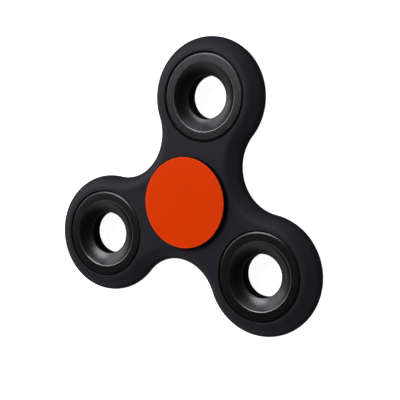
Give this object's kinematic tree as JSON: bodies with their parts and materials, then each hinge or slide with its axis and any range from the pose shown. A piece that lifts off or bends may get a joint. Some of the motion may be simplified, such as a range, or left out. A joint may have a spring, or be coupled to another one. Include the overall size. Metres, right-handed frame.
{
  "type": "fidget spinner",
  "caption": "Palm-size spinner with round lobes, open funnel-shaped ring weights, a central ball bearing and an orange-faced finger cap on each side.",
  "frame": {"origin": "on the spin axis, at the face of the rear cap disc that the spinner lies on", "axes": "+Z along the spin axis towards the front cap, +Y from the axis towards weight ring 1, +X to the right seen from the front"},
  "size_m": [0.075, 0.0689, 0.0098],
  "materials": {
    "body_abs": "soft-touch coated black ABS",
    "weight_steel": "turned steel, black oxide, satin",
    "bearing_steel": "ground bearing steel",
    "ball_steel": "polished bearing balls",
    "cage_steel": "pressed sheet steel",
    "cap_abs": "moulded black ABS",
    "cap_disc": "orange coated disc, satin"
  },
  "bodies": {
    "hub": {"bearing_inner_race": "bearing_steel", "front_cap": "cap_abs", "rear_cap": "cap_abs", "front_cap_disc": "cap_disc", "rear_cap_disc": "cap_disc"},
    "spinner": {"spinner_body": "body_abs", "weight_ring_1": "weight_steel", "weight_ring_2": "weight_steel", "weight_ring_3": "weight_steel", "bearing_outer_race": "bearing_steel", "shield_front": "cage_steel", "shield_rear": "cage_steel", "shield_clip_front": "cage_steel", "shield_clip_rear": "cage_steel"},
    "cage": {"cage_front": "cage_steel", "cage_rear": "cage_steel", "cage_rivets": "cage_steel"},
    "ball_1": {"ball_1": "ball_steel"},
    "ball_2": {"ball_2": "ball_steel"},
    "ball_3": {"ball_3": "ball_steel"},
    "ball_4": {"ball_4": "ball_steel"},
    "ball_5": {"ball_5": "ball_steel"},
    "ball_6": {"ball_6": "ball_steel"},
    "ball_7": {"ball_7": "ball_steel"}
  },
  "joints": [
    {"name": "spin", "type": "hinge", "parent": "hub", "child": "spinner", "pos_m": [0, 0, 0.0049], "axis": [0, 0, 1], "continuous": true},
    {"name": "cage_orbit", "type": "hinge", "parent": "hub", "child": "cage", "pos_m": [0, 0, 0.0049], "axis": [0, 0, 1], "continuous": true},
    {"name": "ball_1_roll", "type": "hinge", "parent": "cage", "child": "ball_1", "pos_m": [0, 0.0075, 0.0049], "axis": [0, 0, 1], "continuous": true},
    {"name": "ball_2_roll", "type": "hinge", "parent": "cage", "child": "ball_2", "pos_m": [-0.00586, 0.00468, 0.0049], "axis": [0, 0, 1], "continuous": true},
    {"name": "ball_3_roll", "type": "hinge", "parent": "cage", "child": "ball_3", "pos_m": [-0.00731, -0.00167, 0.0049], "axis": [0, 0, 1], "continuous": true},
    {"name": "ball_4_roll", "type": "hinge", "parent": "cage", "child": "ball_4", "pos_m": [-0.00325, -0.00676, 0.0049], "axis": [0, 0, 1], "continuous": true},
    {"name": "ball_5_roll", "type": "hinge", "parent": "cage", "child": "ball_5", "pos_m": [0.00325, -0.00676, 0.0049], "axis": [0, 0, 1], "continuous": true},
    {"name": "ball_6_roll", "type": "hinge", "parent": "cage", "child": "ball_6", "pos_m": [0.00731, -0.00167, 0.0049], "axis": [0, 0, 1], "continuous": true},
    {"name": "ball_7_roll", "type": "hinge", "parent": "cage", "child": "ball_7", "pos_m": [0.00586, 0.00468, 0.0049], "axis": [0, 0, 1], "continuous": true}
  ],
  "couplings": [
    {"joint": "cage_orbit", "follows": "spin", "ratio": 0.6323},
    {"joint": "ball_1_roll", "follows": "spin", "ratio": 1.7573},
    {"joint": "ball_2_roll", "follows": "spin", "ratio": 1.7573},
    {"joint": "ball_3_roll", "follows": "spin", "ratio": 1.7573},
    {"joint": "ball_4_roll", "follows": "spin", "ratio": 1.7573},
    {"joint": "ball_5_roll", "follows": "spin", "ratio": 1.7573},
    {"joint": "ball_6_roll", "follows": "spin", "ratio": 1.7573},
    {"joint": "ball_7_roll", "follows": "spin", "ratio": 1.7573}
  ]
}
